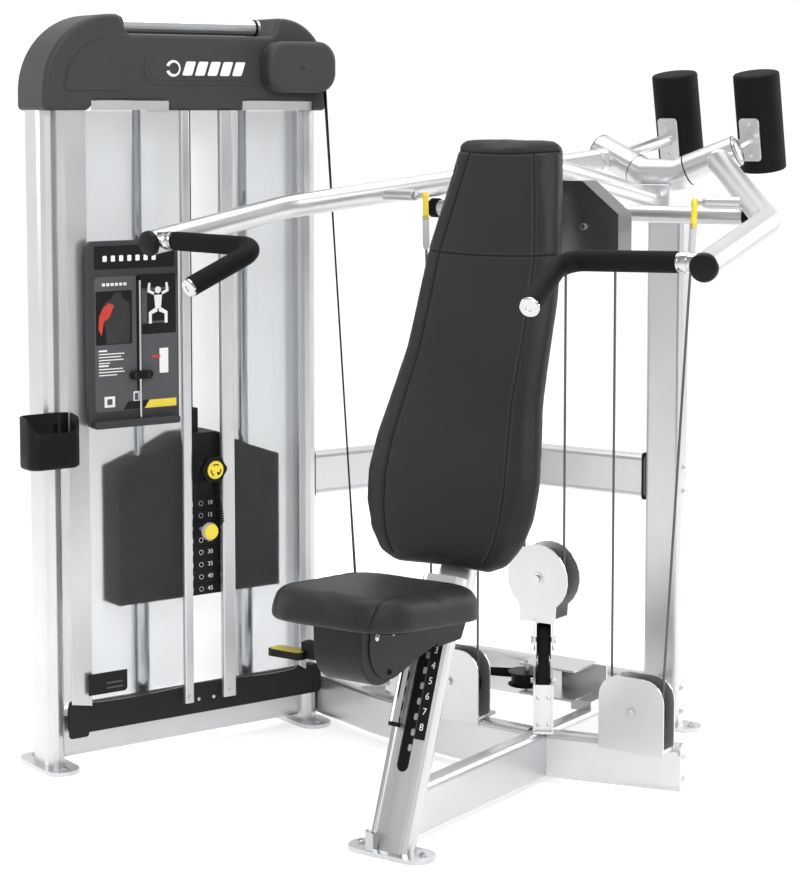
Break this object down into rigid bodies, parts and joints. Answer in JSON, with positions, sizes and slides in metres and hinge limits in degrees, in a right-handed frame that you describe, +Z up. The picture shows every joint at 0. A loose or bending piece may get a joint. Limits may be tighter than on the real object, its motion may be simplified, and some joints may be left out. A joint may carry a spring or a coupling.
{
  "type": "overhead press machine",
  "caption": "Selectorised overhead press: seat and tall back pad under two pivoted handle arms, tied by cable and belt to a pinned weight stack in a side tower",
  "frame": {"origin": "On the floor, under the middle of the rear upright, in the plane of the middle of the seat", "axes": "+Z up; +X to the right seen from in front of the machine, away from the weight tower; the user sits facing -Y, and +Y is behind the user"},
  "size_m": [1.8854, 1.857, 1.811],
  "materials": {
    "silver_frame": "satin silver powder coat",
    "chrome": "polished",
    "steel": "bright zinc plate",
    "charcoal_plastic": "fine grain moulded",
    "black_plastic": "moulded",
    "black_rubber": "matt",
    "vinyl": "charcoal upholstery vinyl",
    "frosted_shield": "frosted translucent panel",
    "black_iron": "black powder coat",
    "yellow_plastic": "signal yellow",
    "coated_cable": "nylon-coated wire rope"
  },
  "bodies": {
    "frame": {"back_pad": "vinyl", "belt_bracket": "silver_frame", "bottle_holder": "charcoal_plastic", "bottom_skirt": "charcoal_plastic", "centre_beam": "silver_frame", "cross_beam": "silver_frame", "gas_rod": "chrome", "guide_rod_left": "chrome", "guide_rod_right": "chrome", "lift_belt": "black_rubber", "mid_brace": "silver_frame", "pivot_frame": "silver_frame", "placard": "charcoal_plastic", "press_cable": "coated_cable", "rail_left": "silver_frame", "rail_right": "silver_frame", "rear_shroud": "frosted_shield", "rear_upright": "silver_frame", "resting_plates": "black_iron", "seat_post": "silver_frame", "shield_left": "frosted_shield", "shield_right": "frosted_shield", "top_cover": "charcoal_plastic", "top_handle": "silver_frame", "tower_base_beam": "silver_frame", "tower_front_upright": "silver_frame", "tower_rear_upright": "silver_frame", "upper_pulley_housing": "steel", "wing_left": "silver_frame", "wing_right": "silver_frame"},
    "left_press": {"left_arm": "silver_frame", "left_grip": "black_rubber", "left_counterweight": "black_plastic"},
    "right_press": {"right_arm": "silver_frame", "right_grip": "black_rubber", "right_counterweight": "black_plastic"},
    "left_cable_eye": {"left_cable_end": "yellow_plastic"},
    "right_cable_eye": {"right_cable_end": "yellow_plastic"},
    "floating_block": {"float_block": "silver_frame", "float_pulley": "black_plastic"},
    "floating_wheel": {"float_wheel": "black_plastic"},
    "weight_stack": {"head_plate": "black_iron", "lifted_plates": "black_iron", "lanyard": "black_rubber"},
    "pin": {"selector_pin": "yellow_plastic"},
    "knob": {"increment_knob": "black_plastic"},
    "seat": {"seat_carriage": "charcoal_plastic", "seat_pad": "vinyl", "gas_cylinder": "chrome"},
    "lever": {"seat_lever": "black_plastic"},
    "counter": {"counter_slider": "black_plastic"},
    "floor_sheave_left": {"floor_pulley_left": "black_plastic"},
    "floor_sheave_right": {"floor_pulley_right": "black_plastic"},
    "upper_sheave_left": {"upper_pulley_left": "black_plastic"},
    "upper_sheave_right": {"upper_pulley_right": "black_plastic"},
    "top_sheave": {"top_pulley": "black_plastic"},
    "ear_sheave": {"ear_pulley": "black_plastic"},
    "corner_sheave": {"corner_pulley": "black_plastic"},
    "channel_sheave": {"channel_pulley": "black_plastic"},
    "bracket_sheave": {"bracket_pulley": "black_plastic"}
  },
  "joints": [
    {"name": "left_press_hinge", "type": "hinge", "parent": "frame", "child": "left_press", "pos_m": [-0.072, -0.036, 1.434], "axis": [-0.909, 0.1872, 0.3724], "range_deg": [0, 30]},
    {"name": "right_press_hinge", "type": "hinge", "parent": "frame", "child": "right_press", "pos_m": [0.072, -0.036, 1.434], "axis": [-0.909, -0.1872, -0.3724], "range_deg": [0, 30]},
    {"name": "left_cable_pull", "type": "slide", "parent": "frame", "child": "left_cable_eye", "axis": [0.3761, -0.0169, 0.9264], "range_m": [0, 0.305]},
    {"name": "right_cable_pull", "type": "slide", "parent": "frame", "child": "right_cable_eye", "axis": [-0.3761, -0.0169, 0.9264], "range_m": [0, 0.305]},
    {"name": "float_lift", "type": "slide", "parent": "frame", "child": "floating_block", "axis": [0, 0, 1], "range_m": [0, 0.283], "deforming": ["press_cable"]},
    {"name": "stack_lift", "type": "slide", "parent": "frame", "child": "weight_stack", "axis": [0, 0, 1], "range_m": [0, 0.566], "deforming": ["lift_belt"]},
    {"name": "float_wheel_spin", "type": "hinge", "parent": "floating_block", "child": "floating_wheel", "pos_m": [0, -0.605, 0.3425], "axis": [0.8552, 0.5183, 0], "range_deg": [0, 406]},
    {"name": "floor_left_spin", "type": "hinge", "parent": "frame", "child": "floor_sheave_left", "pos_m": [-0.249, -0.605, 0.212], "axis": [0, 1, 0], "range_deg": [0, 250]},
    {"name": "upper_left_spin", "type": "hinge", "parent": "frame", "child": "upper_sheave_left", "pos_m": [-0.119, -0.605, 1.32], "axis": [0, -1, 0], "range_deg": [0, 250]},
    {"name": "floor_right_spin", "type": "hinge", "parent": "frame", "child": "floor_sheave_right", "pos_m": [0.249, -0.605, 0.212], "axis": [0, -1, 0], "range_deg": [0, 250]},
    {"name": "upper_right_spin", "type": "hinge", "parent": "frame", "child": "upper_sheave_right", "pos_m": [0.119, -0.605, 1.32], "axis": [0, 1, 0], "range_deg": [0, 250]},
    {"name": "top_spin", "type": "hinge", "parent": "frame", "child": "top_sheave", "pos_m": [-0.8906, -0.75938, 1.69], "axis": [-0.7932, 0.609, 0], "range_deg": [0, 811]},
    {"name": "ear_spin", "type": "hinge", "parent": "frame", "child": "ear_sheave", "pos_m": [-0.72881, -0.54866, 1.69], "axis": [-0.7932, 0.609, 0], "range_deg": [0, 811]},
    {"name": "corner_spin", "type": "hinge", "parent": "frame", "child": "corner_sheave", "pos_m": [-0.56, -0.5, 0.224], "axis": [0.3442, -0.9389, 0], "range_deg": [0, 811]},
    {"name": "channel_spin", "type": "hinge", "parent": "frame", "child": "channel_sheave", "pos_m": [-0.171, -0.4, 0.184], "axis": [0, 0, -1], "range_deg": [0, 811]},
    {"name": "bracket_spin", "type": "hinge", "parent": "frame", "child": "bracket_sheave", "pos_m": [-0.04146, -0.53658, 0.224], "axis": [-0.8552, -0.5183, 0], "range_deg": [0, 811]},
    {"name": "seat_height", "type": "slide", "parent": "frame", "child": "seat", "axis": [0, 0.3469, 0.9379], "range_m": [-0.126, 0.0315]},
    {"name": "seat_lever_hinge", "type": "hinge", "parent": "seat", "child": "lever", "pos_m": [-0.067, -1.4, 0.472], "axis": [0, 1, 0], "range_deg": [0, 15], "stiffness_Nm_per_rad": 1},
    {"name": "pin_pull", "type": "slide", "parent": "weight_stack", "child": "pin", "axis": [0.9397, -0.342, 0], "range_m": [0, 0.07]},
    {"name": "knob_turn", "type": "hinge", "parent": "weight_stack", "child": "knob", "pos_m": [-0.87247, -0.79806, 0.7], "axis": [0.9397, -0.342, 0], "range_deg": [0, 90]},
    {"name": "counter_slide", "type": "slide", "parent": "frame", "child": "counter", "axis": [0, 0, 1], "range_m": [0, 0.2]}
  ],
  "couplings": [
    {"joint": "right_press_hinge", "follows": "left_press_hinge", "ratio": 1},
    {"joint": "left_cable_pull", "follows": "left_press_hinge", "m_per_rad": 0.58214},
    {"joint": "right_cable_pull", "follows": "left_press_hinge", "m_per_rad": 0.58214},
    {"joint": "float_lift", "follows": "left_press_hinge", "m_per_rad": 0.53968},
    {"joint": "stack_lift", "follows": "left_press_hinge", "m_per_rad": 1.0794},
    {"joint": "float_wheel_spin", "follows": "left_press_hinge", "ratio": 13.492},
    {"joint": "floor_left_spin", "follows": "left_press_hinge", "ratio": 8.3028},
    {"joint": "floor_right_spin", "follows": "left_press_hinge", "ratio": 8.3028},
    {"joint": "upper_left_spin", "follows": "left_press_hinge", "ratio": 8.3028},
    {"joint": "upper_right_spin", "follows": "left_press_hinge", "ratio": 8.3028},
    {"joint": "top_spin", "follows": "left_press_hinge", "ratio": 26.984},
    {"joint": "ear_spin", "follows": "left_press_hinge", "ratio": 26.984},
    {"joint": "corner_spin", "follows": "left_press_hinge", "ratio": 26.984},
    {"joint": "channel_spin", "follows": "left_press_hinge", "ratio": 26.984},
    {"joint": "bracket_spin", "follows": "left_press_hinge", "ratio": 26.984}
  ]
}
